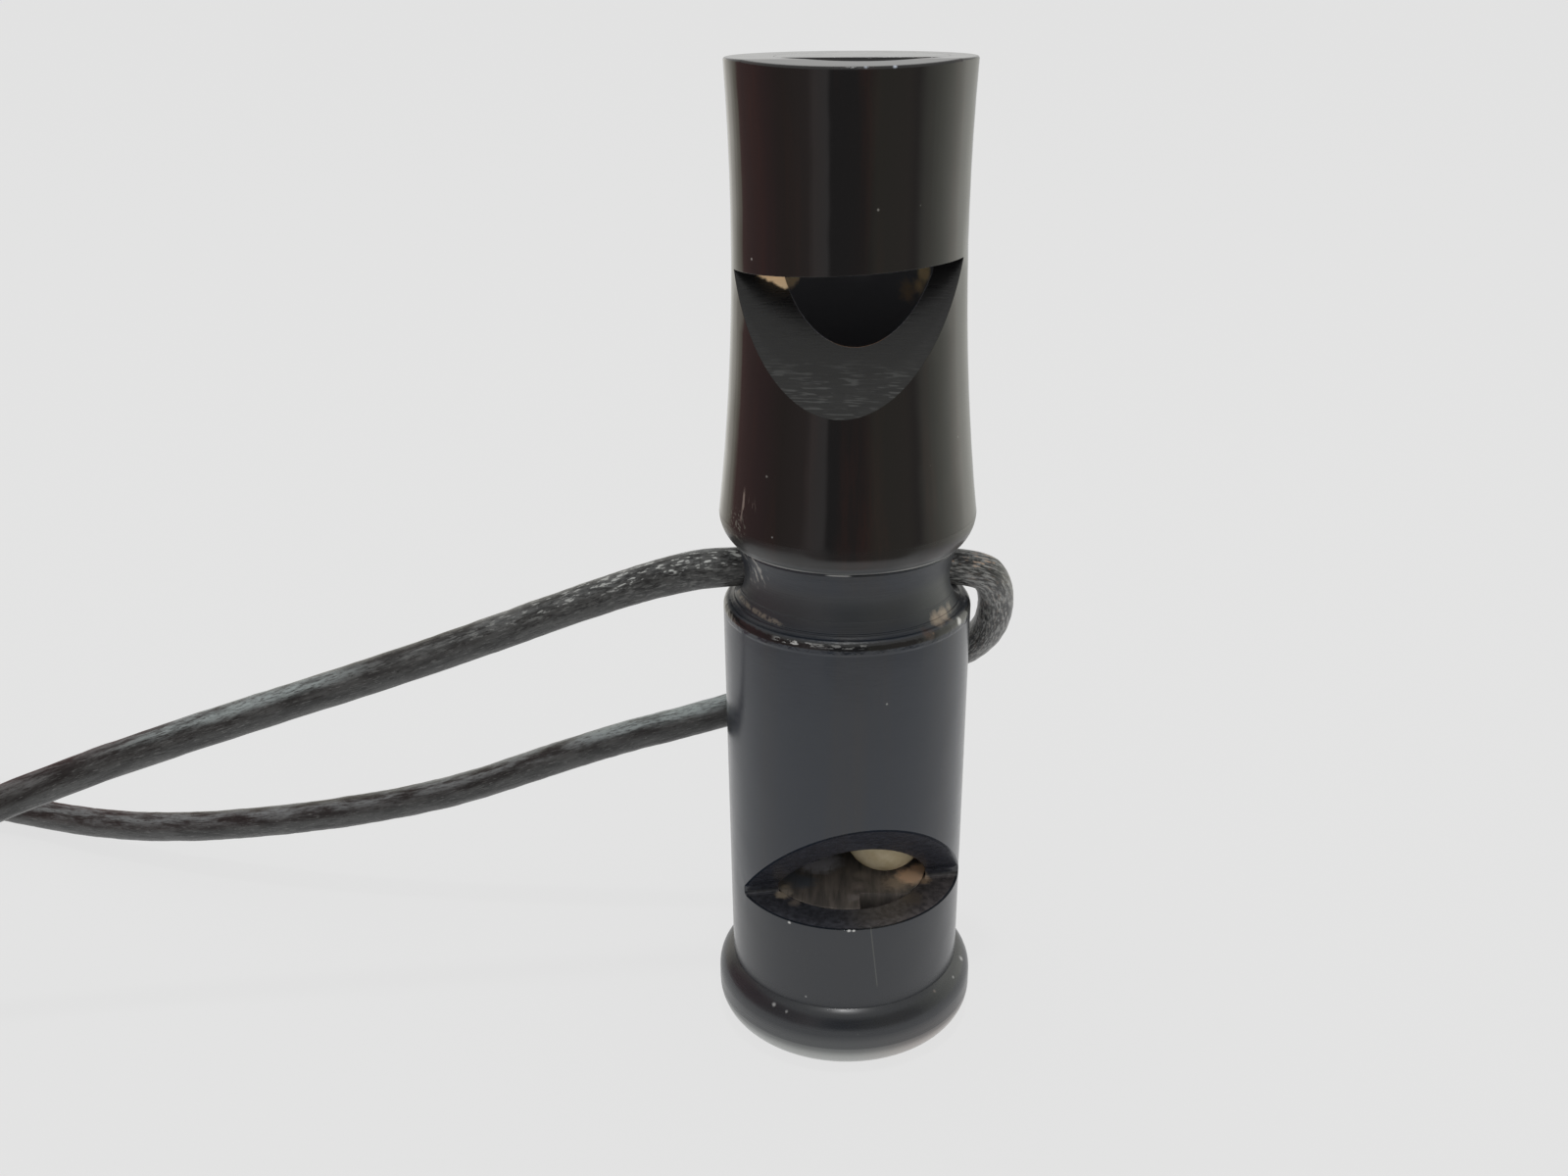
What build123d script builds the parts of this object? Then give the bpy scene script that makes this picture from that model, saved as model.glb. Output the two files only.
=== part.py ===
from build123d import *
import math
import os

# A double-ended bird call of turned horn on a leather neck cord, standing on its lower mouthpiece.
# Millimetres, +Z up, origin in the middle of the foot's underside, windows facing -Y.

# Lower barrel: a rounded foot to hold in the teeth, a plain barrel, a rim and a hollow neck
foot_radius = 11.2
foot_height = 5.8
foot_base_rounding = 2.6
foot_shoulder_height = 2.0
barrel_foot_radius = 9.93
barrel_rim_radius = 10.15
lower_barrel_length = 33.2
rim_rounding = 0.7
neck_length = 5.3
neck_radius = 8.55
neck_top_radius = 9.3
lower_seat_radius = 7.1
lower_bore_radius = 7.3
lower_bore_depth = 33.0

# Upper barrel: a through tube, widest just above its lip, with a slim waist and its bore a little to the
# right. The mouth's face rises a little towards the front, up to a bevel along its front edge
lip_radius = 9.4
belly_radius = 10.33
belly_above_lip = 2.2
waist_radius = 8.97
waist_above_lip = 22.5
mouth_radius = 9.31
upper_barrel_length = 36.75
upper_bore_radius = 6.4
upper_bore_right = 0.8
mouth_rounding = 0.2
mouth_face_tilt = 1.4
mouth_bevel_in_front = 5.0
mouth_bevel_angle = 3.0

# Joint between the barrels, and the glue line round the tenon and the plugs
tenon_length = 7.8
socket_radius = 6.5
glue_line = 0.04

# Windows: the inner edge of each square cut in front of the axis, the slope of the ramp from the axis,
# the flare of the square cut away from the ramp, and the turn of the window towards +X. The lower
# window has a small rounded step between its cut and its ramp
upper_window_in_front = 2.8
upper_ramp_angle = 33.0
upper_cut_flare = 2.0
upper_window_turn = -1.7
upper_window_tilt = 3.3
lower_window_in_front = 3.4
lower_window_step = 0.85
lower_ramp_angle = 38.5
lower_cut_flare = 2.0
lower_window_turn = 11.3
lower_window_rounding = 0.4

# Plugs: each closes its mouth up to the window's square cut. A flat along the upper one and a channel
# along the right-hand side of the lower one leave the windways, deepest at the mouths
upper_plug_length = 14.45
lower_plug_length = 13.9
lower_plug_recess = 0.3
upper_mouth_gap = 3.8
upper_exit_gap = 1.2
lower_mouth_gap = 3.1
lower_exit_gap = 2.4
lower_windway_left = 1.3

# Ball of the lower whistle, as it lies on the lower plug
pea_radius = 3.5
pea_right = 3.4
pea_in_front = 0.25
pea_rest_gap = 0.1

# Cord, its hole across the neck, how far it lies above the hole's middle at each side, and what keeps
# its spare length together
cord_diameter = 3.0
cord_lift_left = 0.05
cord_lift_right = 0.45
hole_clearance = 0.5
hole_above_rim = 2.35
hole_mouth_rounding = 0.3
coil_centre_x = -124.0
coil_centre_y = 6.0
coil_middle_radius = 16.7
coil_loops = 5
coil_gap = 0.5
coil_tail_length = 14.0
tie_width = 4.0
tie_thickness = 0.6
tie_slack = 0.4
tie_rest_gap = 0.2
knot_length = 11.0
knot_wraps = 3
knot_radius = 4.2
knot_tail_length = 6.0
knot_tail_lean = 25.0

# Heights that follow from the sizes above
rim_height_above_table = foot_height + lower_barrel_length
neck_foot = rim_height_above_table + rim_rounding
lip_height = neck_foot + neck_length
mouth_height = lip_height + upper_barrel_length
hole_height = neck_foot + hole_above_rim
cord_left_height = hole_height + cord_lift_left
cord_right_height = hole_height + cord_lift_right
upper_cut_height = mouth_height - upper_plug_length
lower_cut_height = lower_plug_length
cord_radius = cord_diameter / 2
hole_radius = cord_radius + hole_clearance
cut_reach = 2 * foot_radius


def turned(*outline):
    """Solid turned about Z from a closed outline of radius and height."""
    return revolve(Plane.XZ * make_face(outline), axis=Axis.Z)


def upright_cylinder(radius, bottom, top):
    """Cylinder round the Z axis between two heights."""
    return Pos(0, 0, bottom) * Cylinder(radius, top - bottom, align=(Align.CENTER, Align.CENTER, Align.MIN))


def side_cut(*outline):
    """Cutter with an outline of depth (along Y) and height, wide enough to pass right through."""
    return extrude(Plane.YZ * make_face(Polyline(*outline, close=True)), amount=cut_reach, both=True)


def window_cutter(in_front, ramp_angle, flare, direction, step=0):
    """Square cut at height 0, any step, and a flat ramp that leaves the barrel above (1) or below (-1)."""
    depth = cut_reach - in_front
    rise = step + depth / math.tan(math.radians(ramp_angle))
    fall = depth * math.tan(math.radians(flare))
    outline = [(-in_front, 0), (-cut_reach, -direction * fall), (-cut_reach, direction * rise)]
    if step:
        outline.append((-in_front, direction * step))
    return side_cut(*outline)


def windway_cutter(bore_radius, mouth_gap, exit_gap, mouth, window):
    """Cutter of the flat along a plug, which narrows the windway from the mouth to the window."""
    flat_at_mouth = bore_radius - mouth_gap
    flat_at_window = bore_radius - exit_gap
    return side_cut(
        (-flat_at_mouth, mouth),
        (-flat_at_window, window),
        (-cut_reach, window),
        (-cut_reach, mouth),
    )


def waist_radius_at(height):
    """Radius of the upper barrel's one hollow arc, carried on past the mouth."""
    r1, h1 = belly_radius, belly_above_lip
    r2, h2 = waist_radius, waist_above_lip
    r3, h3 = mouth_radius, upper_barrel_length
    slope_low = (r2 - r1) / (h2 - h1)
    slope_high = (r3 - r2) / (h3 - h2)
    bend = (slope_high - slope_low) / (h3 - h1)
    return r1 + slope_low * (height - h1) + bend * (height - h1) * (height - h2)


def mouth_trim():
    """Cutter that leaves the upper mouth's face a little higher at the front, up to the bevel."""
    block = Box(2 * cut_reach, 2 * cut_reach, cut_reach, align=(Align.CENTER, Align.CENTER, Align.MIN))
    rise = mouth_bevel_in_front * math.tan(math.radians(mouth_face_tilt))
    face = Pos(0, 0, mouth_height) * Rot(-mouth_face_tilt, 0, 0) * block
    bevel = Pos(0, -mouth_bevel_in_front, mouth_height + rise) * Rot(mouth_bevel_angle, 0, 0) * block
    return face + bevel


def make_upper_barrel():
    spare = 1.0
    end_radius = waist_radius_at(upper_barrel_length + spare)
    lip = (lip_radius, lip_height)
    belly = (belly_radius, lip_height + belly_above_lip)
    waist = (waist_radius, lip_height + waist_above_lip)
    end = (end_radius, mouth_height + spare)
    lip_round = ThreePointArc(lip, ((lip[0] + 2 * belly[0]) / 3, lip[1] + belly_above_lip * 0.4), belly)
    barrel = turned(
        Line((0, lip_height), lip),
        lip_round,
        ThreePointArc(belly, waist, end),
        Line(end, (0, mouth_height + spare)),
        Line((0, mouth_height + spare), (0, lip_height)),
    )
    barrel -= mouth_trim()
    mouth_faces = barrel.faces().filter_by(GeomType.PLANE).sort_by(Axis.Z)[1:]
    rim = [edge for face in mouth_faces for edge in face.edges() if edge.geom_type != GeomType.LINE]
    barrel = fillet(rim, mouth_rounding)
    tenon_top = lip_height + tenon_length
    barrel -= upright_cylinder(socket_radius, lip_height - spare, tenon_top)
    barrel -= Pos(upper_bore_right, 0, 0) * upright_cylinder(upper_bore_radius, tenon_top, mouth_height + spare)
    window = window_cutter(upper_window_in_front, upper_ramp_angle, upper_cut_flare, -1)
    lean = Rot(0, 0, upper_window_turn) * Rot(0, -upper_window_tilt, 0)
    return barrel - Pos(0, 0, upper_cut_height) * lean * window


def make_upper_plug():
    spare = 1.0
    mouth = mouth_height + spare
    plug = upright_cylinder(upper_bore_radius - glue_line, upper_cut_height, mouth)
    windway = windway_cutter(upper_bore_radius, upper_mouth_gap, upper_exit_gap, mouth, upper_cut_height)
    plug -= Rot(0, 0, upper_window_turn) * windway
    return Pos(upper_bore_right, 0, 0) * plug - mouth_trim()


def make_lower_barrel():
    upwards = (0, 1)
    outwards = (1, 0)
    foot_flat = (foot_radius - foot_base_rounding, 0)
    foot_low = (foot_radius, foot_base_rounding)
    foot_high = (foot_radius, foot_height - foot_shoulder_height)
    barrel_foot = (barrel_foot_radius, foot_height)
    rim = (barrel_rim_radius, rim_height_above_table)
    rim_top = (barrel_rim_radius - rim_rounding, neck_foot)
    neck_middle = (neck_radius, neck_foot + neck_length / 2)
    neck_top = (neck_top_radius, lip_height)
    barrel = turned(
        Line((0, 0), foot_flat),
        TangentArc(foot_flat, foot_low, tangent=outwards),
        Line(foot_low, foot_high),
        TangentArc(foot_high, barrel_foot, tangent=upwards),
        Line(barrel_foot, rim),
        TangentArc(rim, rim_top, tangent=upwards),
        ThreePointArc(rim_top, neck_middle, neck_top),
        Line(neck_top, (0, lip_height)),
        Line((0, lip_height), (0, 0)),
    )
    barrel -= Pos(0, 0, hole_height) * Rot(0, 90, 0) * Cylinder(hole_radius, 2 * cut_reach)
    reach = 2 * hole_radius
    mouths = barrel.edges().filter_by_position(Axis.Z, hole_height - reach, hole_height + reach)
    mouths = [edge for edge in mouths if abs(edge.center().X) > neck_radius / 2]
    barrel = fillet(mouths, hole_mouth_rounding)
    barrel += upright_cylinder(socket_radius - glue_line, lip_height, lip_height + tenon_length)
    barrel -= upright_cylinder(lower_seat_radius, 0, lower_cut_height)
    barrel -= upright_cylinder(lower_bore_radius, lower_cut_height, lower_bore_depth)
    window = window_cutter(lower_window_in_front, lower_ramp_angle, lower_cut_flare, 1, lower_window_step)
    step_edges = window.edges().filter_by(Axis.X).sort_by(Axis.Y)[-2:]
    window = fillet(step_edges, lower_window_rounding)
    barrel -= Pos(0, 0, lower_cut_height) * Rot(0, 0, lower_window_turn) * window
    return barrel


def make_lower_plug():
    mouth = lower_plug_recess
    plug = upright_cylinder(lower_seat_radius - glue_line, mouth, lower_cut_height)
    windway = windway_cutter(lower_seat_radius, lower_mouth_gap, lower_exit_gap, mouth, lower_cut_height)
    right_side = Box(cut_reach, 2 * cut_reach, 2 * cut_reach, align=(Align.MIN, Align.CENTER, Align.CENTER))
    return plug - (windway & Pos(lower_windway_left, 0, 0) * right_side)


def make_pea():
    height = lower_cut_height + pea_rest_gap + pea_radius
    return Pos(pea_right, -pea_in_front, height) * Sphere(pea_radius)


# Coil of the spare cord: it spirals in on the upper layer and out again on the lower one
coil_turns = coil_loops + 0.5
coil_step = cord_diameter + coil_gap
coil_outer_radius = coil_middle_radius + coil_step * coil_turns / 4
coil_low = tie_thickness + tie_rest_gap + cord_radius
coil_high = coil_low + coil_step
coil_start = (coil_centre_x, coil_centre_y - coil_outer_radius, coil_high)
coil_end = (coil_centre_x, coil_centre_y + coil_outer_radius, coil_low)
knot_left = coil_end[0] + coil_tail_length
knot_right = knot_left + knot_length

# Route of the cord from the coil, through the hole, round the back of the barrel and on to the knot
cord_route = [
    (coil_start[0] + cord_diameter, coil_start[1], coil_start[2]),
    (-113.0, coil_start[1], coil_start[2]),
    (-103.5, -12.9, 8.2),
    (-92.5, -10.3, 13.2),
    (-79.5, -8.0, 19.3),
    (-66.0, -6.0, 24.8),
    (-52.0, -4.3, 29.3),
    (-38.5, -2.9, 33.4),
    (-29.4, -2.0, 36.5),
    (-20.6, -1.2, cord_left_height - 2.5),
    (-14.8, -0.4, cord_left_height - 0.8),
    (-9.9, 0.0, cord_left_height),
    (10.6, 0.0, cord_right_height),
    (12.6, 2.2, cord_right_height - 3.1),
    (12.5, 5.2, cord_right_height - 8.0),
    (10.1, 8.8, 30.4),
    (4.0, 12.8, 27.8),
    (-4.0, 13.2, 25.0),
    (-12.5, 12.1, 22.3),
    (-21.0, 12.5, 19.7),
    (-29.1, 13.3, 16.4),
    (-37.0, 14.1, 13.0),
    (-46.0, 15.2, 10.2),
    (-57.0, 17.0, 7.4),
    (-68.5, 19.7, 4.8),
    (-80.0, 23.5, 2.9),
    (-90.5, coil_end[1], coil_end[2]),
    (knot_right, coil_end[1], coil_end[2]),
]


def bend_radii(points):
    """Radius of each corner of a route, as large as the shorter of its two runs allows."""
    radii = []
    for before, corner, after in zip(points, points[1:], points[2:]):
        run_in = Vector(*corner) - Vector(*before)
        run_out = Vector(*after) - Vector(*corner)
        half_turn = math.radians(run_in.get_angle(run_out)) / 2
        radii.append(0.45 * min(run_in.length, run_out.length) / math.tan(half_turn))
    return radii


def tube(path):
    """Round tube of the cord's thickness along a path."""
    return sweep(Plane(path @ 0, z_dir=path % 0) * Circle(cord_radius), path=path)


def print_tube(name, solid, path):
    """Print how near a tube's volume is to its section times its length."""
    expected = math.pi * cord_radius ** 2 * path.length
    share = round(solid.volume / expected, 4)
    print(name, "length", round(path.length, 1), "volume over section times length", share)


def make_neck_cord():
    radii = bend_radii(cord_route)
    print("cord bend radii", [round(radius, 1) for radius in radii])
    path = FilletPolyline(*cord_route, radius=radii)
    cord = tube(path)
    print_tube("neck_cord", cord, path)
    return cord


def coil_point(turn):
    """Place and heading of the coil's middle line after a number of turns from its start at the front."""
    reverse = coil_turns / 2
    inward = turn < reverse
    radius = coil_outer_radius - coil_step * (turn if inward else coil_turns - turn)
    growth = 0 if turn in (0, reverse, coil_turns) else (-1 if inward else 1) * coil_step / (2 * math.pi)
    drop = min(max((turn - reverse) / 0.5 + 0.5, 0), 1)
    height = coil_high - coil_step * drop * drop * (3 - 2 * drop)
    fall = -coil_step * 6 * drop * (1 - drop) / math.pi
    angle = -math.pi / 2 - 2 * math.pi * turn
    outward = Vector(math.cos(angle), math.sin(angle), 0)
    along = Vector(math.sin(angle), -math.cos(angle), 0)
    place = Vector(coil_centre_x, coil_centre_y, height) + outward * radius
    heading = outward * growth + along * radius + Vector(0, 0, fall)
    return place, heading.normalized()


def biarc(start, start_heading, end, end_heading):
    """Two tangent arcs that leave one point and reach another along given headings."""
    chord = end - start
    both = start_heading + end_heading
    spread = 2 * (1 - start_heading.dot(end_heading))
    reach = chord.dot(both)
    handle = (-reach + math.sqrt(reach ** 2 + spread * chord.dot(chord))) / spread
    near = start + start_heading * handle
    far = end - end_heading * handle
    middle = (near + far) / 2
    return [TangentArc(start, middle, tangent=start_heading), TangentArc(middle, end, tangent=far - near)]


def least_self_gap(path):
    """Least clear gap between turns, measured on points along the coil's middle line."""
    count = int(coil_turns * 48)
    points = [path @ (index / count) for index in range(count + 1)]
    apart = 24
    distances = [
        (points[later] - points[earlier]).length
        for earlier in range(len(points))
        for later in range(earlier + apart, len(points))
    ]
    return min(distances) - cord_diameter


def make_cord_coil():
    quarters = round(coil_turns * 4)
    stations = [coil_point(quarter / 4) for quarter in range(quarters + 1)]
    first, last = stations[0], stations[-1]
    edges = [Line(first[0] - first[1] * cord_diameter, first[0])]
    for (start, start_heading), (end, end_heading) in zip(stations, stations[1:]):
        edges += biarc(start, start_heading, end, end_heading)
    edges.append(Line(last[0], last[0] + last[1] * coil_tail_length))
    path = Wire(edges)
    coil = tube(path)
    print_tube("cord_coil", coil, path)
    print("cord_coil least gap to itself", round(least_self_gap(path), 2))
    return coil


def make_cord_knot():
    wrap = knot_length / knot_wraps
    groove_radius = knot_radius - 0.25 * wrap
    outline = [Line((0, 0), (groove_radius, 0))]
    for number in range(knot_wraps):
        low = (groove_radius, number * wrap)
        high = (groove_radius, (number + 1) * wrap)
        outline.append(ThreePointArc(low, (knot_radius, (number + 0.5) * wrap), high))
    outline.append(Line((groove_radius, knot_length), (0, knot_length)))
    outline.append(Line((0, knot_length), (0, 0)))
    body = Pos(knot_left, coil_end[1], knot_radius) * Rot(0, 90, 0) * turned(*outline)
    tail = upright_cylinder(cord_radius, 0, knot_radius + knot_tail_length)
    for tail_x, lean in ((knot_left + wrap / 2, knot_tail_lean), (knot_right - wrap / 2, 0)):
        body += Pos(tail_x, coil_end[1], knot_radius) * Rot(0, 0, lean) * Rot(-90, 0, 0) * tail
    return body


def make_coil_tie():
    first_pass = 0.25
    last_pass = first_pass + math.floor(coil_turns / 2 - first_pass)
    inner_radius = coil_outer_radius - coil_step * last_pass - cord_radius - tie_slack
    outer_radius = coil_outer_radius - coil_step * first_pass + cord_radius + tie_slack
    inside_height = coil_high + cord_radius + tie_rest_gap - tie_thickness
    middle_x = coil_centre_x - (inner_radius + outer_radius) / 2
    middle_z = tie_thickness + inside_height / 2
    inside_width = outer_radius - inner_radius
    both_sides = 2 * tie_thickness
    outer = RectangleRounded(inside_width + both_sides, inside_height + both_sides, cord_radius * 0.6)
    inner = RectangleRounded(inside_width, inside_height, cord_radius * 0.4)
    band = extrude(Plane.XZ * (outer - inner), amount=tie_width / 2, both=True)
    return Pos(middle_x, coil_centre_y, middle_z) * band


makers = {
    "upper_barrel": make_upper_barrel,
    "upper_fipple_plug": make_upper_plug,
    "lower_barrel": make_lower_barrel,
    "lower_fipple_plug": make_lower_plug,
    "pea": make_pea,
    "neck_cord": make_neck_cord,
    "cord_coil": make_cord_coil,
    "cord_knot": make_cord_knot,
    "coil_tie": make_coil_tie,
}

os.makedirs("parts", exist_ok=True)
for name, make in makers.items():
    export_step(make(), os.path.join("parts", name + ".step"))
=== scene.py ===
import bpy
import math
from mathutils import Matrix, Vector, noise


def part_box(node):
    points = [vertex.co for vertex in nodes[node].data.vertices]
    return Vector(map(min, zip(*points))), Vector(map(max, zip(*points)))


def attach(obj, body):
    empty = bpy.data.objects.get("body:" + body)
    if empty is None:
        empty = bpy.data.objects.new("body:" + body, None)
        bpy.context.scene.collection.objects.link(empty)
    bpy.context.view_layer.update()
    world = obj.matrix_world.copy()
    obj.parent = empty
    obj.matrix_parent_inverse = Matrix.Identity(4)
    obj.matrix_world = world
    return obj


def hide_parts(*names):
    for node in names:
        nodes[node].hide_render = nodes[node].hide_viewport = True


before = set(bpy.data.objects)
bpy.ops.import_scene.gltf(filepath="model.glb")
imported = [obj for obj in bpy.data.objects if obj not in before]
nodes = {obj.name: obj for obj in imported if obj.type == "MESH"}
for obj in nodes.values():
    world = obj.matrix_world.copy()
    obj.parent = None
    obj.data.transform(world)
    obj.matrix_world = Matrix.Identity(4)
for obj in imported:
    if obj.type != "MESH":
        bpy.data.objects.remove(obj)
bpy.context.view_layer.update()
MM = 0.001

# Camera in metres and radians, as fitted to the outline and the turned edges of the object
CAMERA_PLACE = (0.0, -0.12221, 0.08970)
CAMERA_TURN = 0.04224
CAMERA_DIP = 0.38521
CAMERA_ROLL = -0.00831
CAMERA_LENS = 36.82

# Cord sizes in millimetres, as in the object's source
CORD_DIAMETER = 3.0
CORD_RADIUS = CORD_DIAMETER / 2
CORD_LEFT_HEIGHT = 42.1
CORD_RIGHT_HEIGHT = 42.5
CORD_MIDDLE_HEIGHT = (CORD_LEFT_HEIGHT + CORD_RIGHT_HEIGHT) / 2
COIL_CENTRE = (-124.0, 6.0)
COIL_TURNS = 5.5
COIL_STEP = 3.5
COIL_MIDDLE_RADIUS = 16.7
COIL_OUTER_RADIUS = COIL_MIDDLE_RADIUS + COIL_STEP * COIL_TURNS / 4
COIL_LOW = 2.3
COIL_HIGH = COIL_LOW + COIL_STEP
COIL_POINTS_PER_TURN = 24
COIL_FRONT = COIL_CENTRE[1] - COIL_OUTER_RADIUS
COIL_BACK = COIL_CENTRE[1] + COIL_OUTER_RADIUS
KNOT_LEFT = -110.0
KNOT_RIGHT = -99.0
KNOT_RADIUS = 4.2
KNOT_ABOVE_TABLE = 0.08
KNOT_FLOOR = CORD_RADIUS + KNOT_ABOVE_TABLE

# Route of the upper strand, from the middle of the hole out to the left and down to the coil
UPPER_STRAND = [
    (0.5, 0.0, CORD_MIDDLE_HEIGHT),
    (-9.9, 0.0, CORD_LEFT_HEIGHT),
    (-14.8, -0.4, CORD_LEFT_HEIGHT - 0.8),
    (-20.6, -1.2, CORD_LEFT_HEIGHT - 2.5),
    (-29.4, -2.0, 36.5),
    (-38.5, -2.9, 33.4),
    (-52.0, -4.3, 29.3),
    (-66.0, -6.0, 24.8),
    (-79.5, -8.0, 19.3),
    (-92.5, -10.3, 13.2),
    (-103.5, -12.9, 8.2),
    (-113.0, COIL_FRONT, COIL_HIGH),
    (-121.0, COIL_FRONT, COIL_HIGH),
]

# End of the upper strand, from the lower layer of the coil into the knot
UPPER_STRAND_END = [
    (COIL_CENTRE[0], COIL_BACK, COIL_LOW),
    (-119.0, COIL_BACK, COIL_LOW),
    (-113.5, COIL_BACK, COIL_LOW + 0.7),
    (KNOT_LEFT + 0.5, COIL_BACK, KNOT_RADIUS - 0.2),
    (KNOT_LEFT + 4.0, COIL_BACK, KNOT_RADIUS),
]

# Route of the lower strand, from the middle of the hole out to the right, round the back and into the knot
LOWER_STRAND = [
    (0.5, 0.0, CORD_MIDDLE_HEIGHT),
    (10.6, 0.0, CORD_RIGHT_HEIGHT),
    (12.6, 2.2, CORD_RIGHT_HEIGHT - 3.1),
    (12.5, 5.2, CORD_RIGHT_HEIGHT - 8.0),
    (10.1, 8.8, 30.4),
    (4.0, 12.8, 27.8),
    (-4.0, 13.2, 25.0),
    (-12.5, 12.1, 22.3),
    (-21.0, 12.5, 19.7),
    (-29.1, 13.3, 16.4),
    (-37.0, 14.1, 13.0),
    (-46.0, 15.2, 10.2),
    (-57.0, 17.0, 7.4),
    (-68.5, 19.7, 4.8),
    (-80.0, 23.5, 2.9),
    (-90.5, COIL_BACK, COIL_LOW),
    (KNOT_RIGHT + 0.5, COIL_BACK, KNOT_RADIUS - 0.4),
    (KNOT_RIGHT - 4.0, COIL_BACK, KNOT_RADIUS),
]


def make_camera():
    turn = Matrix.Rotation(CAMERA_TURN, 4, "Z")
    dip = Matrix.Rotation(math.pi / 2 - CAMERA_DIP, 4, "X")
    roll = Matrix.Rotation(CAMERA_ROLL, 4, "Z")
    data = bpy.data.cameras.new("camera")
    data.lens = CAMERA_LENS
    data.clip_start = 0.005
    data.clip_end = 50
    camera = bpy.data.objects.new("camera", data)
    camera.matrix_world = Matrix.Translation(CAMERA_PLACE) @ turn @ dip @ roll
    bpy.context.scene.collection.objects.link(camera)
    bpy.context.scene.camera = camera


def add_piece(name, verts, faces):
    """A new object with the given corners, in metres, and faces."""
    mesh = bpy.data.meshes.new(name)
    mesh.from_pydata(verts, [], faces)
    piece = bpy.data.objects.new(name, mesh)
    bpy.context.scene.collection.objects.link(piece)
    return piece


def add_leather_piece(name, verts, faces, straight):
    """A smooth piece that keeps each corner's place in the straight leather, for its grain."""
    piece = add_piece(name, verts, faces)
    piece.data.shade_smooth()
    attribute = piece.data.attributes.new("straight", "FLOAT_VECTOR", "POINT")
    for item, place in zip(attribute.data, straight):
        item.vector = place
    return piece


def nurbs_line(points, resolution):
    """Points in metres along a smooth line that has the given points, in millimetres, as control points."""
    data = bpy.data.curves.new("route", "CURVE")
    data.dimensions = "3D"
    spline = data.splines.new("NURBS")
    spline.points.add(len(points) - 1)
    for control, point in zip(spline.points, points):
        control.co = (*(Vector(point) * MM), 1)
    spline.order_u = 3
    spline.use_endpoint_u = True
    spline.resolution_u = resolution
    route = bpy.data.objects.new("route", data)
    mesh = bpy.data.meshes.new_from_object(route)
    line = [vertex.co.copy() for vertex in mesh.vertices]
    bpy.data.meshes.remove(mesh)
    bpy.data.curves.remove(data)
    return line


def ring_frames(line):
    """Two directions across the line at each of its points, carried along it without twisting."""
    across = Vector((0, 0, 1))
    frames = []
    for index in range(len(line)):
        along = (line[min(index + 1, len(line) - 1)] - line[max(index - 1, 0)]).normalized()
        across = (across - along * across.dot(along)).normalized()
        frames.append((across.copy(), along.cross(across)))
    return frames


def leather_tube(name, line, seed, swelling=0.0):
    """Round leather cord along a line, a little uneven, and swollen near the hole if asked."""
    sides = 24
    swollen_place = 12.0
    swollen_length = 5.0
    lump_height = 0.045
    lump_size = 2.6
    dent_height = 0.03
    dent_size = 0.8
    verts = []
    straight = []
    run = 0.0
    for index, ((across, aside), centre) in enumerate(zip(ring_frames(line), line)):
        run += (centre - line[index - 1]).length / MM if index else 0
        for side in range(sides):
            angle = 2 * math.pi * side / sides
            flat = Vector((math.cos(angle) * CORD_RADIUS, math.sin(angle) * CORD_RADIUS, run))
            lump = noise.noise(flat / lump_size + Vector((seed, 0, 0))) * lump_height
            dent = noise.noise(flat / dent_size + Vector((0, seed, 0))) * dent_height
            swell = swelling * math.exp(-((run - swollen_place) / swollen_length) ** 2)
            radius = (CORD_RADIUS - lump_height / 4 + lump + dent + swell) * MM
            verts.append(centre + (across * math.cos(angle) + aside * math.sin(angle)) * radius)
            straight.append(flat)
    rings = len(line)
    faces = []
    for ring in range(rings - 1):
        for side in range(sides):
            near = ring * sides + side
            next_side = ring * sides + (side + 1) % sides
            faces.append((near, next_side, next_side + sides, near + sides))
    faces.append(tuple(reversed(range(sides))))
    faces.append(tuple(range((rings - 1) * sides, rings * sides)))
    return add_leather_piece(name, verts, faces, straight)


def coil_points():
    """Control points of the coil: in on the upper layer and out again on the lower one."""
    points = []
    reverse = COIL_TURNS / 2
    drop_turns = 0.5
    outside = 1 / math.cos(math.pi / COIL_POINTS_PER_TURN)
    for number in range(1, round(COIL_TURNS * COIL_POINTS_PER_TURN)):
        turn = number / COIL_POINTS_PER_TURN
        radius = COIL_OUTER_RADIUS - COIL_STEP * min(turn, COIL_TURNS - turn)
        drop = min(max((turn - reverse) / drop_turns + 0.5, 0), 1)
        height = COIL_HIGH - COIL_STEP * drop * drop * (3 - 2 * drop)
        angle = -math.pi / 2 - 2 * math.pi * turn
        x = COIL_CENTRE[0] + math.cos(angle) * radius * outside
        y = COIL_CENTRE[1] + math.sin(angle) * radius * outside
        points.append((x, y, height))
    return points


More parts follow.
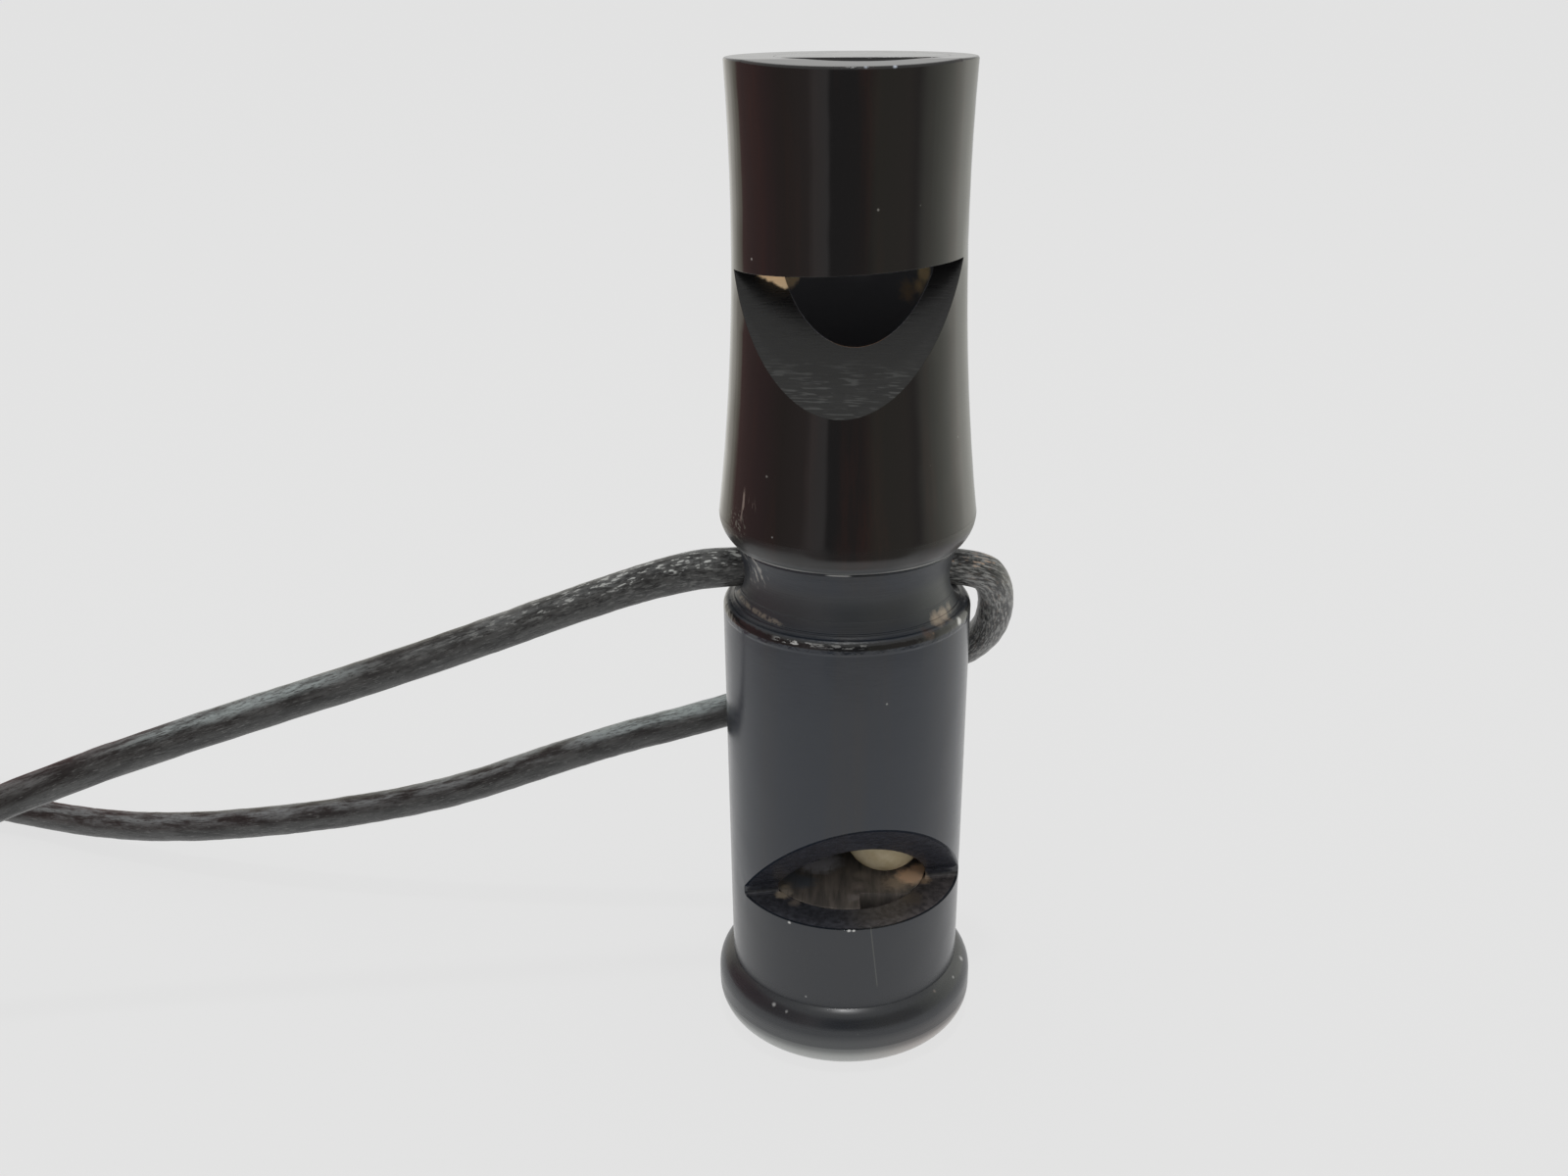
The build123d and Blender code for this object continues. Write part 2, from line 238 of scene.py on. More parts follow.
def knot_points():
    """Control points of the wraps that join the two ends: from under the knot, round it and off its top."""
    wraps = 2.5
    steps = 16
    pitch = 3.2
    wrap_radius = KNOT_RADIUS - CORD_RADIUS
    first = (KNOT_LEFT + KNOT_RIGHT - wraps * pitch) / 2
    outside = 1 / math.cos(math.pi / steps)
    points = [(first - 1.6, COIL_BACK + 8.4, KNOT_FLOOR), (first - 0.8, COIL_BACK + 4.5, KNOT_FLOOR)]
    for number in range(round(wraps * steps) + 1):
        turn = number / steps
        y = COIL_BACK - math.sin(2 * math.pi * turn) * wrap_radius * outside
        z = KNOT_RADIUS - math.cos(2 * math.pi * turn) * wrap_radius * outside
        points.append((first + turn * pitch, y, max(z, KNOT_FLOOR)))
    last = first + wraps * pitch
    points.append((last + 0.3, COIL_BACK + 3.2, KNOT_RADIUS + wrap_radius - 0.5))
    points.append((last + 0.8, COIL_BACK + 6.4, KNOT_RADIUS - 0.6))
    points.append((last + 1.4, COIL_BACK + 8.0, CORD_RADIUS + 0.4))
    return points


def make_tie():
    """Flat leather strip with rounded edges, round one side of the coil."""
    low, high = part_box("coil_tie")
    middle = (low + high) / 2
    thickness = 0.6 * MM
    half_width = (high.y - low.y) / 2
    half_x = (high.x - low.x) / 2 - thickness / 2
    half_z = (high.z - low.z) / 2 - thickness / 2
    corner = 1.3 * MM
    corner_steps = 8
    outline = []
    for centre_x, centre_z, start in ((1, 1, 0), (-1, 1, 90), (-1, -1, 180), (1, -1, 270)):
        for step in range(corner_steps + 1):
            angle = math.radians(start + 90 * step / corner_steps)
            x = centre_x * (half_x - corner) + math.cos(angle) * corner
            z = centre_z * (half_z - corner) + math.sin(angle) * corner
            outline.append((x, z, math.cos(angle), math.sin(angle)))
    section_steps = 10
    edge_roundness = 0.35
    face_roundness = 0.6
    verts = []
    for x, z, out_x, out_z in outline:
        for step in range(section_steps):
            angle = 2 * math.pi * step / section_steps
            across = math.copysign(abs(math.cos(angle)) ** edge_roundness, math.cos(angle)) * half_width
            lift = math.copysign(abs(math.sin(angle)) ** face_roundness, math.sin(angle)) * thickness / 2
            verts.append(middle + Vector((x + out_x * lift, across, z + out_z * lift)))
    count = len(outline)
    faces = []
    for ring in range(count):
        for step in range(section_steps):
            a = ring * section_steps + step
            b = ring * section_steps + (step + 1) % section_steps
            c = (ring + 1) % count * section_steps + (step + 1) % section_steps
            d = (ring + 1) % count * section_steps + step
            faces.append((a, d, c, b))
    return add_leather_piece("tie_strip", verts, faces, [vert / MM for vert in verts])


class Shader:
    """A material's node tree, with short names for the nodes that the materials use."""

    def __init__(self, name):
        self.material = bpy.data.materials.new(name)
        self.material.use_nodes = True
        self.tree = self.material.node_tree
        self.principled = self.tree.nodes["Principled BSDF"]

    def add(self, kind, inputs, **settings):
        node = self.tree.nodes.new(kind)
        for setting, value in settings.items():
            setattr(node, setting, value)
        for socket, value in inputs.items():
            self.put(node, socket, value)
        return node

    def put(self, node, socket, value):
        if isinstance(value, bpy.types.NodeSocket):
            self.tree.links.new(value, node.inputs[socket])
        else:
            node.inputs[socket].default_value = value

    def set(self, **inputs):
        for socket, value in inputs.items():
            self.put(self.principled, socket.replace("_", " "), value)

    def own_place(self):
        """The object's own coordinates, in millimetres."""
        coordinates = self.tree.nodes.new("ShaderNodeTexCoord").outputs["Object"]
        return self.stretch(coordinates, (1000, 1000, 1000))

    def own_normal(self):
        return self.tree.nodes.new("ShaderNodeTexCoord").outputs["Normal"]

    def stretch(self, vector, factors):
        node = self.add("ShaderNodeVectorMath", {0: vector, 1: factors}, operation="MULTIPLY")
        return node.outputs["Vector"]

    def slanted(self, vector, angle):
        """Coordinates turned about the Y axis."""
        node = self.add("ShaderNodeVectorRotate", {"Vector": vector, "Angle": angle}, rotation_type="Y_AXIS")
        return node.outputs["Vector"]

    def measure(self, operation, first, second=(0, 0, 0)):
        """A number worked out from two vectors."""
        return self.add("ShaderNodeVectorMath", {0: first, 1: second}, operation=operation).outputs["Value"]

    def axis(self, vector, name):
        return self.add("ShaderNodeSeparateXYZ", {"Vector": vector}).outputs[name]

    def math(self, operation, first, second=0.0):
        return self.add("ShaderNodeMath", {0: first, 1: second}, operation=operation).outputs["Value"]

    def all_of(self, first, *others):
        """The product of several masks."""
        for other in others:
            first = self.math("MULTIPLY", first, other)
        return first

    def grain(self, vector, scale, detail=2.0, roughness=0.5):
        inputs = {"Vector": vector, "Scale": scale, "Detail": detail, "Roughness": roughness}
        return self.add("ShaderNodeTexNoise", inputs).outputs["Fac"]

    def cells(self, vector, scale):
        return self.add("ShaderNodeTexVoronoi", {"Vector": vector, "Scale": scale}).outputs["Distance"]

    def between(self, value, low, high, start=0.0, end=1.0):
        """Start below low, end above high and a smooth change between them."""
        inputs = {"Value": value, "From Min": low, "From Max": high, "To Min": start, "To Max": end}
        node = self.add("ShaderNodeMapRange", inputs, interpolation_type="SMOOTHSTEP")
        return node.outputs["Result"]

    def band(self, value, low, high, edge):
        """1 between two values and 0 outside them."""
        return self.all_of(self.between(value, low - edge, low), self.between(value, high + edge, high))

    def facing(self, direction, tight):
        """1 where the surface faces a direction and 0 where it doesn't."""
        towards = self.measure("DOT_PRODUCT", self.own_normal(), direction)
        return self.between(towards, tight, (1 + tight) / 2)

    def edges(self, radius):
        """1 on sharp edges and 0 elsewhere, and the normal that rounds them off."""
        soft = self.add("ShaderNodeBevel", {"Radius": radius * MM}, samples=6).outputs["Normal"]
        sharp = self.tree.nodes.new("ShaderNodeNewGeometry").outputs["Normal"]
        return self.between(self.measure("DOT_PRODUCT", soft, sharp), 0.99, 0.9), soft

    def mix(self, factor, first, second):
        node = self.add("ShaderNodeMix", {0: factor, 6: first, 7: second}, data_type="RGBA")
        return node.outputs[2]

    def bump(self, height, distance, strength, normal):
        inputs = {"Height": height, "Distance": distance * MM, "Strength": strength}
        if normal is not None:
            inputs["Normal"] = normal
        return self.add("ShaderNodeBump", inputs).outputs["Normal"]


class Surface(Shader):
    """A finish built up in layers, which keeps its colour, roughness and normal so far."""

    def __init__(self, name):
        super().__init__(name)
        self.place = self.own_place()
        self.rag = self.grain(self.place, 2.2, detail=4.0)
        self.colour = None
        self.roughness = None
        self.normal = None

    def paint(self, mask, tint):
        self.colour = self.mix(mask, self.colour, tint)

    def roughen(self, amount):
        self.roughness = self.math("ADD", self.roughness, amount)

    def dent(self, height, distance, strength):
        self.normal = self.bump(height, distance, strength, self.normal)

    def spot(self, centre, radius, edge):
        """1 near a point and 0 further off than the radius, with a ragged edge."""
        away = self.measure("DISTANCE", self.place, centre)
        ragged = self.math("ADD", away, self.all_of(self.rag, edge))
        return self.between(ragged, radius + edge, radius)

    def paint_marks(self, marks):
        for centre, radius, ragged, tint in marks:
            self.paint(self.spot(centre, radius, ragged), tint)

    def finish(self, ior):
        self.set(Base_Color=self.colour, Roughness=self.roughness, IOR=ior, Normal=self.normal)
        return self.material


class Horn(Surface):
    """Polished black horn with brown growth streaks, fine scratches and a faint wave in its turned sides."""

    def __init__(self, name, black, brown, smooth, scratched):
        super().__init__(name)
        place = self.place
        self.right = self.axis(place, "X")
        self.height = self.axis(place, "Z")
        self.slope = self.axis(self.own_normal(), "Z")
        growth = self.grain(self.stretch(place, (1, 1, 0.05)), 0.35, detail=3.0, roughness=0.55)
        fibre = self.grain(self.stretch(place, (1, 1, 0.02)), 5.0)
        streak = self.all_of(self.between(growth, 0.46, 0.70), self.between(fibre, 0.3, 0.7, 0.5, 1.0))
        self.colour = self.mix(streak, black, brown)
        ring_scratch = self.grain(self.stretch(place, (0.05, 0.05, 1)), 12.0)
        up_grain = self.grain(self.stretch(place, (1, 1, 0.03)), 14.0, detail=1.0)
        self.roughness = self.between(ring_scratch, 0.3, 0.8, smooth, scratched)
        self.roughen(self.all_of(self.between(up_grain, 0.66, 0.78), 0.06))
        self.edge, self.normal = self.edges(0.06)
        turned_side = self.math("SUBTRACT", 1.0, self.facing((0.0, 0.0, 1.0), 0.9))
        self.dent(self.all_of(self.grain(place, 0.22, detail=1.0), turned_side), 0.06, 1.0)
        self.dent(ring_scratch, 0.004, 0.5)

    def front(self):
        """1 on the side with the windows and 0 elsewhere."""
        return self.between(self.axis(self.place, "Y"), -8.0, -9.0)

    def from_axis(self, right=0.0):
        """Distance from an upright line that stands so far to the right of the barrels' axis."""
        return self.measure("DISTANCE", self.stretch(self.place, (1, 1, 0)), (right, 0, 0))


# Upper window: the slope of its ramp, and the bore, a little to the right, as in the object's source
UPPER_RAMP_ANGLE = math.radians(33.0)
UPPER_RAMP = (0.0, -math.cos(UPPER_RAMP_ANGLE), math.sin(UPPER_RAMP_ANGLE))
UPPER_BORE_RIGHT = 0.8
UPPER_BORE_RADIUS = 6.4

# Marks on the horn: middle in millimetres, radius, width of the ragged edge, and colour
UPPER_MARKS = [
    ((5.9, 3.9, 65.3), 0.7, 0.6, (0.72, 0.55, 0.32, 1)),
    ((5.5, 4.3, 64.2), 0.5, 0.8, (0.56, 0.42, 0.25, 1)),
    ((4.7, 5.1, 63.6), 0.6, 1.3, (0.34, 0.25, 0.17, 1)),
    ((-4.7, 3.4, 65.6), 1.4, 0.6, (0.85, 0.64, 0.40, 1)),
    # Painted highlights on the front edge of the mouth
    ((1.0, -9.2, 81.7), 0.14, 0.2, (0.50, 0.55, 0.62, 1)),
    ((3.0, -8.8, 81.7), 0.16, 0.2, (0.62, 0.68, 0.78, 1)),
    ((2.0, -8.8, 72.1), 0.07, 0.16, (0.34, 0.33, 0.30, 1)),
    ((5.0, -7.5, 72.2), 0.05, 0.14, (0.30, 0.29, 0.27, 1)),
    ((-7.1, -5.5, 68.1), 0.06, 0.14, (0.40, 0.38, 0.36, 1)),
    ((-6.0, -7.6, 52.2), 0.10, 0.16, (0.55, 0.53, 0.50, 1)),
    ((-1.9, -9.4, 52.9), 0.05, 0.14, (0.34, 0.33, 0.30, 1)),
    ((4.1, -8.6, 53.2), 0.07, 0.14, (0.44, 0.42, 0.40, 1)),
    ((6.1, -7.4, 53.1), 0.05, 0.14, (0.40, 0.40, 0.37, 1)),
    ((8.2, -4.7, 54.5), 0.12, 0.20, (0.50, 0.50, 0.47, 1)),
    ((-5.7, -8.6, 47.7), 0.07, 0.16, (0.42, 0.42, 0.42, 1)),
]
LOWER_MARKS = [
    ((6.3, -7.6, 39.4), 0.4, 0.9, (0.045, 0.021, 0.014, 1)),
    ((6.7, -7.3, 39.3), 0.10, 0.2, (0.34, 0.19, 0.10, 1)),
    ((7.1, -6.0, 40.0), 0.55, 0.6, (0.30, 0.235, 0.17, 1)),
    ((7.7, -5.2, 40.1), 0.55, 0.6, (0.34, 0.27, 0.20, 1)),
    ((8.3, -4.2, 40.3), 0.35, 0.6, (0.22, 0.19, 0.15, 1)),
    # Painted highlight on the rim at the right
    ((8.9, -4.6, 39.25), 0.30, 0.3, (0.60, 0.60, 0.58, 1)),
    # Painted shade under the cord, at the right of the hole
    ((8.9, -1.6, 40.6), 0.70, 0.5, (0.003, 0.003, 0.004, 1)),
    ((3.2, -9.6, 34.3), 0.06, 0.14, (0.34, 0.34, 0.32, 1)),
    # Painted highlights on the front edge of the lower window's cut
    ((-4.6, -8.9, 13.6), 0.12, 0.20, (0.75, 0.75, 0.74, 1)),
    ((0.4, -10.0, 13.65), 0.12, 0.20, (0.80, 0.80, 0.78, 1)),
    ((0.8, -10.0, 13.65), 0.12, 0.20, (0.80, 0.80, 0.78, 1)),
    ((-5.9, -8.7, 5.2), 0.16, 0.25, (0.42, 0.42, 0.42, 1)),
    ((-4.8, -9.5, 5.1), 0.10, 0.22, (0.50, 0.50, 0.50, 1)),
    ((-3.2, -9.4, 6.6), 0.06, 0.16, (0.36, 0.36, 0.36, 1)),
    ((10.4, -1.7, 5.3), 0.20, 0.30, (0.50, 0.50, 0.50, 1)),
    ((9.5, -4.5, 5.3), 0.10, 0.22, (0.50, 0.50, 0.50, 1)),
    ((7.8, -6.8, 5.5), 0.08, 0.30, (0.20, 0.16, 0.15, 1)),
    ((1.2, -11.0, 4.1), 0.07, 0.16, (0.30, 0.30, 0.30, 1)),
    ((6.9, -2.5, 13.9), 0.50, 0.6, (0.34, 0.245, 0.17, 1)),
    ((5.8, -5.2, 13.8), 0.90, 1.2, (0.095, 0.080, 0.070, 1)),
    ((-5.3, -5.1, 13.8), 0.55, 0.6, (0.42, 0.35, 0.27, 1)),
    ((-4.2, -6.2, 13.8), 0.40, 0.8, (0.20, 0.17, 0.15, 1)),
]


def turned_belly(horn):
    """Where the upper barrel turns under: satin, fuller at the front, its downward-facing band painted
    lighter as a painted reflection of the table, and a painted highlight along its lip.
    """
    # Downward-facing band painted lighter: a painted reflection of the table
    painted_table_reflection = horn.all_of(horn.between(horn.slope, -0.48, -0.60), horn.between(horn.height, 46.5, 46.0))
    horn.paint(painted_table_reflection, (0.070, 0.073, 0.075, 1))
    horn.roughen(horn.between(horn.height, 47.8, 46.8, 0.0, 0.24))
    full_front = horn.math("ADD", horn.all_of(horn.band(horn.right, -1.4, 3.4, 2.2), 0.7), 0.3)
    horn.dent(horn.all_of(horn.between(horn.height, 47.4, 46.1), full_front), 0.30, 1.0)
    off_middle = horn.between(horn.math("ABSOLUTE", horn.right), 1.5, 6.0, 0.2, 1.0)
    # Pale line along the lip: a painted highlight
    painted_lip_highlight = horn.all_of(horn.between(horn.height, 45.20, 45.10), off_middle)
    horn.paint(painted_lip_highlight, (0.34, 0.34, 0.33, 1))


def filed_window(horn):
    """Upper window: a dark ramp filed across and painted darker towards its top as painted shade under the
    cut, a paler bore, long scratches low down and a brown edge.
    """
    ramp = horn.facing(UPPER_RAMP, 0.985)
    file_mark = horn.grain(horn.stretch(horn.place, (0.06, 1, 1)), 7.0, detail=3.0, roughness=0.6)
    filed = horn.between(file_mark, 0.3, 0.75)
    low_ramp = horn.mix(filed, (0.002, 0.002, 0.002, 1), (0.008, 0.008, 0.007, 1))
    # The ramp is painted darker towards its top: painted shade under the overhang of the cut
    painted_shade_near_top = horn.between(horn.height, 60.0, 65.0)
    horn.paint(ramp, horn.mix(painted_shade_near_top, low_ramp, (0.002, 0.002, 0.0024, 1)))
    horn.roughen(horn.all_of(ramp, horn.between(file_mark, 0.3, 0.7, 0.18, 0.28)))
    horn.dent(horn.all_of(file_mark, ramp), 0.02, 0.6)
    bore_edge = UPPER_BORE_RADIUS + 0.01
    in_bore = horn.between(horn.from_axis(UPPER_BORE_RIGHT), bore_edge + 0.03, bore_edge)
    horn.paint(horn.all_of(in_bore, horn.between(horn.height, 67.0, 66.6)), (0.14, 0.14, 0.155, 1))
    long_line = horn.grain(horn.stretch(horn.slanted(horn.place, -0.06), (0.012, 1, 1)), 7.0, detail=1.0)
    broken = horn.between(horn.grain(horn.place, 0.5), 0.36, 0.52)
    low_down = horn.between(horn.height, 61.5, 59.5)
    scratch = horn.all_of(horn.between(long_line, 0.54, 0.64), broken, low_down, ramp)
    horn.paint(scratch, (0.045, 0.046, 0.045, 1))
    bore_front = horn.all_of(horn.edge, horn.spot((0.8, -6.4, 61.7), 2.2, 1.2))
    horn.paint(bore_front, (0.20, 0.11, 0.055, 1))


def torn_corner(horn):
    """Pale torn corner at the upper left of the upper window."""
    from_apex = horn.math("ABSOLUTE", horn.math("ADD", horn.right, 4.75))
    torn_line = horn.math("SUBTRACT", horn.height, horn.all_of(from_apex, 0.38))
    torn = horn.between(horn.math("ADD", torn_line, horn.all_of(horn.rag, 0.4)), 65.65, 65.9)
    corner = horn.all_of(torn, horn.spot((-5.2, -3.4, 66.4), 1.6, 0.8))
    horn.paint(corner, (0.92, 0.70, 0.45, 1))


def scratched_side(horn):
    """Slanting hatches and upright scratches on the left, above the lip."""
    hatch = horn.grain(horn.stretch(horn.slanted(horn.place, 0.9), (1, 1, 0.15)), 4.5)
    hatched = horn.all_of(horn.between(hatch, 0.54, 0.62), horn.spot((-8.6, -5.6, 47.6), 1.2, 1.2))
    horn.paint(hatched, (0.10, 0.10, 0.085, 1))
    upright = horn.grain(horn.stretch(horn.place, (1, 1, 0.08)), 3.2, detail=1.0)
    scratched = horn.all_of(horn.between(upright, 0.60, 0.66), horn.spot((-7.9, -6.2, 49.4), 1.1, 1.0))
    horn.paint(scratched, (0.20, 0.16, 0.14, 1))


def upper_horn():
    """Horn of the upper barrel and its plug: brownish black and highly polished."""
    horn = Horn("upper_horn", black=(0.0085, 0.0074, 0.0072, 1), brown=(0.022, 0.010, 0.008, 1),
                smooth=0.05, scratched=0.11)
    turned_belly(horn)
    filed_window(horn)
    torn_corner(horn)
    scratched_side(horn)
    horn.paint_marks(UPPER_MARKS)
    return horn.finish(ior=1.56)


def foot_scratch_and_painted_light(horn):
    """Lower end: painted paler near the table as painted light from the floor, with one long scratch under
    the window and a painted pale reflection of the table on its underside.
    """
    # Painted paler towards the table: painted light standing for the floor's reflection
    patchy = horn.between(horn.rag, 0.0, 1.0, 0.8, 1.0)
    painted_floor_light = horn.all_of(horn.between(horn.height, 16.0, 12.0), patchy)
    horn.paint(painted_floor_light, (0.0165, 0.0190, 0.0240, 1))
    aslant = horn.math("ADD", horn.right, horn.all_of(horn.height, 0.105))
    scratch = horn.all_of(horn.band(aslant, 3.62, 3.66, 0.05), horn.band(horn.height, 8.2, 13.6, 0.6))
    horn.paint(horn.all_of(scratch, horn.front(), 0.6), (0.10, 0.10, 0.09, 1))
    # Downward-facing underside painted pale, warmer on the right: a painted reflection of the table
    underside = horn.all_of(horn.between(horn.slope, 0.12, -0.40), horn.between(horn.height, 4.0, 3.0))
    scuffs_and_painted_light = horn.mix(horn.between(horn.right, 0, 8), (0.35, 0.36, 0.35, 1), (0.40, 0.36, 0.34, 1))
    horn.paint(underside, scuffs_and_painted_light)
    horn.roughen(horn.all_of(horn.between(horn.height, 7.5, 6.0), 0.09))


def satin_neck(horn):
    """Neck: satin, with turned lines, two grooves, scuffs on the left, painted shade on its downward-facing
    top under the lip, and a short painted highlight under the lip.
    """
    neck = horn.band(horn.height, 39.6, 45.2, 0.15)
    horn.paint(horn.band(horn.height, 40.9, 42.4, 1.0), (0.026, 0.030, 0.035, 1))
    # Downward-facing top of the neck painted darker: painted shade under the lip
    painted_shade_under_lip = horn.all_of(horn.between(horn.slope, -0.36, -0.52), horn.band(horn.height, 43.8, 45.3, 0.1))
    horn.paint(painted_shade_under_lip, (0.012, 0.014, 0.015, 1))
    torn = horn.between(horn.grain(horn.place, 2.6, detail=4.0, roughness=0.65), 0.42, 0.56)
    aslant = horn.math("ADD", horn.height, horn.all_of(horn.right, 0.09))
    left_joint = horn.all_of(horn.band(aslant, 39.62, 39.76, 0.20), horn.between(horn.right, -4.6, -5.6))
    horn.paint(horn.all_of(left_joint, torn), (0.15, 0.13, 0.105, 1))
    fleck = horn.grain(horn.stretch(horn.slanted(horn.place, 0.7), (1, 1, 0.15)), 3.2)
    scuffs_and_painted_light = horn.all_of(horn.between(fleck, 0.55, 0.63), horn.spot((-7.4, -4.8, 43.8), 1.5, 1.2))
    horn.paint(scuffs_and_painted_light, (0.26, 0.25, 0.23, 1))
    under_lip = horn.band(horn.height, 44.76, 44.80, 0.05)
    glint = horn.all_of(under_lip, horn.band(horn.right, -1.2, -0.1, 0.6), horn.front())
    horn.paint(glint, (0.40, 0.40, 0.39, 1))
    horn.roughen(horn.all_of(neck, 0.20))
    turned_line = horn.grain(horn.stretch(horn.place, (0.02, 0.02, 1)), 9.0, detail=3.0, roughness=0.7)
    horn.dent(horn.all_of(turned_line, neck), 0.03, 0.6)
    upper_groove = horn.band(horn.height, 40.80, 40.86, 0.05)
    lower_groove = horn.band(horn.height, 39.92, 39.98, 0.05)
    horn.dent(horn.math("MAXIMUM", upper_groove, lower_groove), 0.03, 1.0)


def grimy_window(horn):
    """Cut faces of the lower window: paler than the polished side, and grimy."""
    window = horn.all_of(horn.between(horn.from_axis(), 9.82, 9.7), horn.band(horn.height, 13.4, 23.5, 0.1))
    cut = horn.between(horn.height, 14.2, 13.9)
    rightward = horn.between(horn.right, -2.0, 6.0)
    cut_colour = horn.mix(rightward, (0.065, 0.067, 0.080, 1), (0.115, 0.103, 0.104, 1))
    window_colour = horn.mix(cut, (0.030, 0.032, 0.042, 1), cut_colour)
    grime = horn.between(horn.rag, 0.3, 0.7, 0.0, 0.6)
    horn.paint(window, horn.mix(grime, window_colour, (0.010, 0.010, 0.012, 1)))
    horn.roughen(horn.all_of(window, 0.06))


def rim_with_painted_light(horn):
    """Rim below the neck: uneven, its chamfer painted almost black as a painted dark reflection, with
    painted highlights on the left that fade to the right.
    """
    # Chamfer painted almost black: a painted dark reflection of the room above
    horn.paint(horn.band(horn.height, 39.05, 39.45, 0.15), (0.003, 0.003, 0.004, 1))
    # Painted highlights along the rim on the left, broken up and fading to the right
    rim_left = horn.all_of(horn.band(horn.height, 39.22, 39.40, 0.10), horn.band(horn.right, -5.4, 1.2, 0.8))
    fading = horn.between(horn.right, -3.6, -2.4, 1.0, 0.35)
    scuffs_and_painted_light = horn.grain(horn.stretch(horn.place, (0.35, 0.35, 1)), 4.0, detail=3.0, roughness=0.6)
    painted_rim_highlights = horn.all_of(rim_left, horn.front(), fading, horn.between(scuffs_and_painted_light, 0.50, 0.60))
    horn.paint(painted_rim_highlights, (0.50, 0.50, 0.49, 1))
    rim = horn.band(horn.height, 38.7, 39.9, 0.2)
    horn.dent(horn.all_of(horn.grain(horn.place, 1.1, detail=3.0), rim), 0.10, 0.8)


def lower_horn():
    """Horn of the lower barrel: bluish black, with a softer polish than the upper one."""
    horn = Horn("lower_horn", black=(0.0080, 0.0130, 0.0225, 1), brown=(0.014, 0.015, 0.019, 1),
                smooth=0.17, scratched=0.24)
    foot_scratch_and_painted_light(horn)
    satin_neck(horn)
    grimy_window(horn)
    rim_with_painted_light(horn)
    horn.paint_marks(LOWER_MARKS)
    return horn.finish(ior=1.62)


# Patches on the top of the lower plug: middle, radius, width of the ragged edge, and colour
PLUG_TOP = 13.9
PLUG_MARKS = [
    # Pale patch painted in as light where the pea's shadow falls
    ((-2.4, 0.4, PLUG_TOP), 1.8, 1.6, (0.58, 0.57, 0.62, 1)),
    ((-3.6, -3.0, PLUG_TOP), 1.0, 1.2, (0.13, 0.14, 0.165, 1)),
    ((-4.9, -2.1, PLUG_TOP), 0.9, 1.2, (0.14, 0.15, 0.175, 1)),
    ((-5.2, -4.8, PLUG_TOP), 0.7, 0.7, (0.42, 0.36, 0.30, 1)),
    ((-5.1, -3.9, PLUG_TOP), 0.30, 0.5, (0.40, 0.34, 0.27, 1)),
    ((-3.9, -6.0, PLUG_TOP), 0.6, 0.9, (0.24, 0.21, 0.185, 1)),
    ((1.4, -1.8, PLUG_TOP), 0.5, 1.0, (0.30, 0.26, 0.23, 1)),
    ((1.2, -3.6, PLUG_TOP), 0.5, 1.0, (0.28, 0.24, 0.22, 1)),
    ((0.8, -5.4, PLUG_TOP), 0.5, 1.0, (0.30, 0.265, 0.255, 1)),
    ((4.5, -2.9, PLUG_TOP), 1.0, 1.6, (0.42, 0.335, 0.26, 1)),
    ((5.8, -1.9, PLUG_TOP), 1.2, 1.0, (0.95, 0.66, 0.45, 1)),
    ((6.7, -0.6, PLUG_TOP), 0.8, 0.8, (0.78, 0.53, 0.36, 1)),
]


def plug_horn():
    """Filed brown horn, streaked, with dark and amber patches."""
    surface = Surface("filed_brown_horn")
    place = surface.place
    streak_grain = surface.grain(surface.stretch(place, (1, 0.16, 0.16)), 1.3, detail=4.0, roughness=0.6)
    streak = surface.between(streak_grain, 0.35, 0.7)
    fine = surface.grain(surface.stretch(place, (1, 0.05, 0.05)), 6.0)
    surface.colour = surface.mix(streak, (0.125, 0.112, 0.104, 1), (0.26, 0.225, 0.20, 1))
    surface.paint_marks(PLUG_MARKS)
    surface.paint(surface.between(fine, 0.62, 0.75, 0.0, 0.5), (0.06, 0.05, 0.045, 1))
    surface.roughness = surface.between(fine, 0.2, 0.8, 0.40, 0.55)
    surface.dent(fine, 0.02, 0.5)
    return surface.finish(ior=1.5)


def pea_cream():
    """Bare cream ball, matt and faintly mottled."""
    surface = Surface("cream_ball")
    mottle = surface.between(surface.grain(surface.place, 0.9, detail=4.0, roughness=0.6), 0.3, 0.75)
    surface.colour = surface.mix(mottle, (0.44, 0.36, 0.22, 1), (0.56, 0.48, 0.33, 1))
    surface.roughness = surface.between(surface.rag, 0.3, 0.7, 0.5, 0.7)
    surface.dent(surface.cells(surface.place, 3.2), 0.02, 0.4)
    return surface.finish(ior=1.45)


